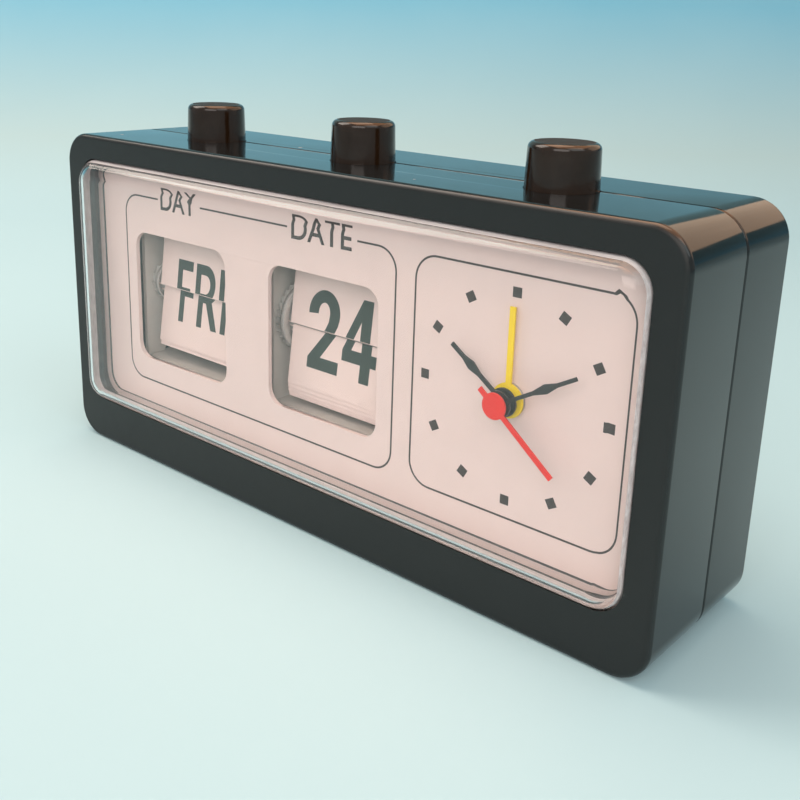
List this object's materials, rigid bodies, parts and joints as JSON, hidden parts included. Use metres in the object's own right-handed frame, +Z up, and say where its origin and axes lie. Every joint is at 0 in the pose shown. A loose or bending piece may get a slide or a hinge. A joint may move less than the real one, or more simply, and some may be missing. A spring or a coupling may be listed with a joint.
{
  "type": "flip calendar clock",
  "caption": "Wide desk clock in a black case with flip leaves for day and date beside a round quartz alarm dial, with push buttons on top and setting knobs behind.",
  "frame": {"origin": "on the surface the clock stands on, under the middle of its box", "axes": "+X to the right seen from the front, +Y to the back, +Z up; the dial faces -Y"},
  "size_m": [0.17, 0.0462, 0.0895],
  "materials": {
    "black_gloss": "moulded black plastic, polished sides and satin front frame",
    "button_black": "polished black-brown plastic",
    "clear_lens": "clear moulded plastic",
    "dial_print": "pale plastic sheet with printed lines",
    "leaf_plastic": "thin pale plastic leaf, printed",
    "grey_plastic": "moulded grey plastic",
    "white_plastic": "moulded white acetal",
    "dark_hand": "dark lacquer",
    "red_hand": "red lacquer",
    "yellow_hand": "yellow lacquer",
    "steel": "bright steel",
    "brass": "plain brass",
    "board_green": "glass-fibre circuit board",
    "battery_jacket": "printed dry cell jacket",
    "knob_black": "satin black plastic"
  },
  "bodies": {
    "case": {"front_shell": "black_gloss", "rear_shell": "black_gloss", "case_screws": "steel", "lens": "clear_lens", "dial_plate": "dial_print", "inner_screws": "steel", "day_spring": "steel", "date_spring": "steel", "snooze_spring": "steel", "button_bridge": "grey_plastic", "snooze_switch": "knob_black", "day_frame": "grey_plastic", "date_frame": "grey_plastic", "day_detent": "steel", "date_detent": "steel", "day_leaves": "leaf_plastic", "date_leaves": "leaf_plastic", "movement_front": "grey_plastic", "movement_rear": "grey_plastic", "stator": "steel", "coil": "brass", "circuit_board": "board_green", "crystal": "steel", "switch_body": "grey_plastic", "buzzer": "knob_black", "battery": "battery_jacket", "positive_contact": "steel", "negative_contact": "steel"},
    "day_button": {"day_button": "button_black", "day_pusher": "white_plastic"},
    "date_button": {"date_button": "button_black", "date_pusher": "white_plastic"},
    "snooze_button": {"snooze_button": "button_black"},
    "day_pawl": {"day_pawl": "steel"},
    "date_pawl": {"date_pawl": "steel"},
    "day_drum": {"day_drum": "white_plastic", "day_ratchet": "white_plastic"},
    "date_drum": {"date_drum": "white_plastic", "date_ratchet": "white_plastic"},
    "day_flip_leaf": {"day_flip_leaf": "leaf_plastic"},
    "date_flip_leaf": {"date_flip_leaf": "leaf_plastic"},
    "rotor": {"rotor": "white_plastic"},
    "step_wheel": {"step_wheel": "white_plastic"},
    "second_hand": {"second_wheel": "white_plastic", "second_hand": "red_hand"},
    "third_wheel": {"third_wheel": "white_plastic"},
    "centre_wheel": {"centre_wheel": "white_plastic"},
    "minute_hand": {"cannon_pinion": "brass", "minute_hand": "dark_hand"},
    "time_knob": {"minute_wheel": "white_plastic", "time_knob": "knob_black"},
    "hour_hand": {"hour_wheel": "white_plastic", "hour_hand": "dark_hand"},
    "alarm_hand": {"alarm_wheel": "white_plastic", "alarm_hand": "yellow_hand"},
    "alarm_knob": {"alarm_arbor": "white_plastic", "alarm_knob": "knob_black"},
    "battery_door": {"battery_door": "black_gloss"},
    "alarm_switch": {"alarm_switch": "knob_black"}
  },
  "joints": [
    {"name": "day_press", "type": "slide", "parent": "case", "child": "day_button", "axis": [0, 0, -1], "range_m": [0, 0.003], "stiffness_N_per_m": 250, "springref_m": -0.004, "deforming": ["day_spring"]},
    {"name": "day_pawl_swing", "type": "hinge", "parent": "day_button", "child": "day_pawl", "pos_m": [-0.06475, 0.0034, 0.0502], "axis": [1, 0, 0], "range_deg": [0, 15]},
    {"name": "day_drum_turn", "type": "hinge", "parent": "case", "child": "day_drum", "pos_m": [-0.04775, -0.0037, 0.0432], "axis": [1, 0, 0], "continuous": true},
    {"name": "day_flip", "type": "hinge", "parent": "case", "child": "day_flip_leaf", "pos_m": [-0.04775, -0.0082, 0.0432], "axis": [1, 0, 0], "range_deg": [0, 182]},
    {"name": "date_press", "type": "slide", "parent": "case", "child": "date_button", "axis": [0, 0, -1], "range_m": [0, 0.003], "stiffness_N_per_m": 250, "springref_m": -0.004, "deforming": ["date_spring"]},
    {"name": "date_pawl_swing", "type": "hinge", "parent": "date_button", "child": "date_pawl", "pos_m": [-0.01645, 0.0085, 0.0502], "axis": [1, 0, 0], "range_deg": [0, 15]},
    {"name": "date_drum_turn", "type": "hinge", "parent": "case", "child": "date_drum", "pos_m": [0.00055, -0.0018, 0.0432], "axis": [1, 0, 0], "continuous": true},
    {"name": "date_flip", "type": "hinge", "parent": "case", "child": "date_flip_leaf", "pos_m": [0.00055, -0.0082, 0.0432], "axis": [1, 0, 0], "range_deg": [0, 182]},
    {"name": "snooze_press", "type": "slide", "parent": "case", "child": "snooze_button", "axis": [0, 0, -1], "range_m": [0, 0.003], "stiffness_N_per_m": 250, "springref_m": -0.004, "deforming": ["snooze_spring"]},
    {"name": "second_turn", "type": "hinge", "parent": "case", "child": "second_hand", "pos_m": [0.0501, 0, 0.04295], "axis": [0, 1, 0], "continuous": true},
    {"name": "step_turn", "type": "hinge", "parent": "case", "child": "step_wheel", "pos_m": [0.0501, 0, 0.05267], "axis": [0, 1, 0], "continuous": true},
    {"name": "rotor_turn", "type": "hinge", "parent": "case", "child": "rotor", "pos_m": [0.04283, 0, 0.05687], "axis": [0, 1, 0], "continuous": true},
    {"name": "third_turn", "type": "hinge", "parent": "case", "child": "third_wheel", "pos_m": [0.0501, 0, 0.03359], "axis": [0, 1, 0], "continuous": true},
    {"name": "centre_turn", "type": "hinge", "parent": "case", "child": "centre_wheel", "pos_m": [0.0501, 0, 0.04295], "axis": [0, 1, 0], "continuous": true},
    {"name": "time_set", "type": "hinge", "parent": "case", "child": "time_knob", "pos_m": [0.04002, 0, 0.04295], "axis": [0, 1, 0], "continuous": true},
    {"name": "minute_turn", "type": "hinge", "parent": "case", "child": "minute_hand", "pos_m": [0.0501, 0, 0.04295], "axis": [0, 1, 0], "continuous": true},
    {"name": "hour_turn", "type": "hinge", "parent": "case", "child": "hour_hand", "pos_m": [0.0501, 0, 0.04295], "axis": [0, 1, 0], "continuous": true},
    {"name": "alarm_set", "type": "hinge", "parent": "case", "child": "alarm_knob", "pos_m": [0.0606, 0, 0.04295], "axis": [0, 1, 0], "continuous": true},
    {"name": "alarm_turn", "type": "hinge", "parent": "case", "child": "alarm_hand", "pos_m": [0.0501, 0, 0.04295], "axis": [0, 1, 0], "continuous": true},
    {"name": "battery_door_lift", "type": "slide", "parent": "case", "child": "battery_door", "axis": [0, 1, 0], "range_m": [0, 0.02]},
    {"name": "alarm_switch_slide", "type": "slide", "parent": "case", "child": "alarm_switch", "axis": [1, 0, 0], "range_m": [0, 0.004]}
  ],
  "couplings": [
    {"joint": "step_turn", "follows": "second_turn", "ratio": -5},
    {"joint": "rotor_turn", "follows": "second_turn", "ratio": 30},
    {"joint": "third_turn", "follows": "second_turn", "ratio": -0.13333},
    {"joint": "centre_turn", "follows": "second_turn", "ratio": 0.016667},
    {"joint": "minute_turn", "follows": "time_set", "ratio": -3},
    {"joint": "hour_turn", "follows": "time_set", "ratio": -0.25},
    {"joint": "alarm_turn", "follows": "alarm_set", "ratio": -0.66667}
  ]
}
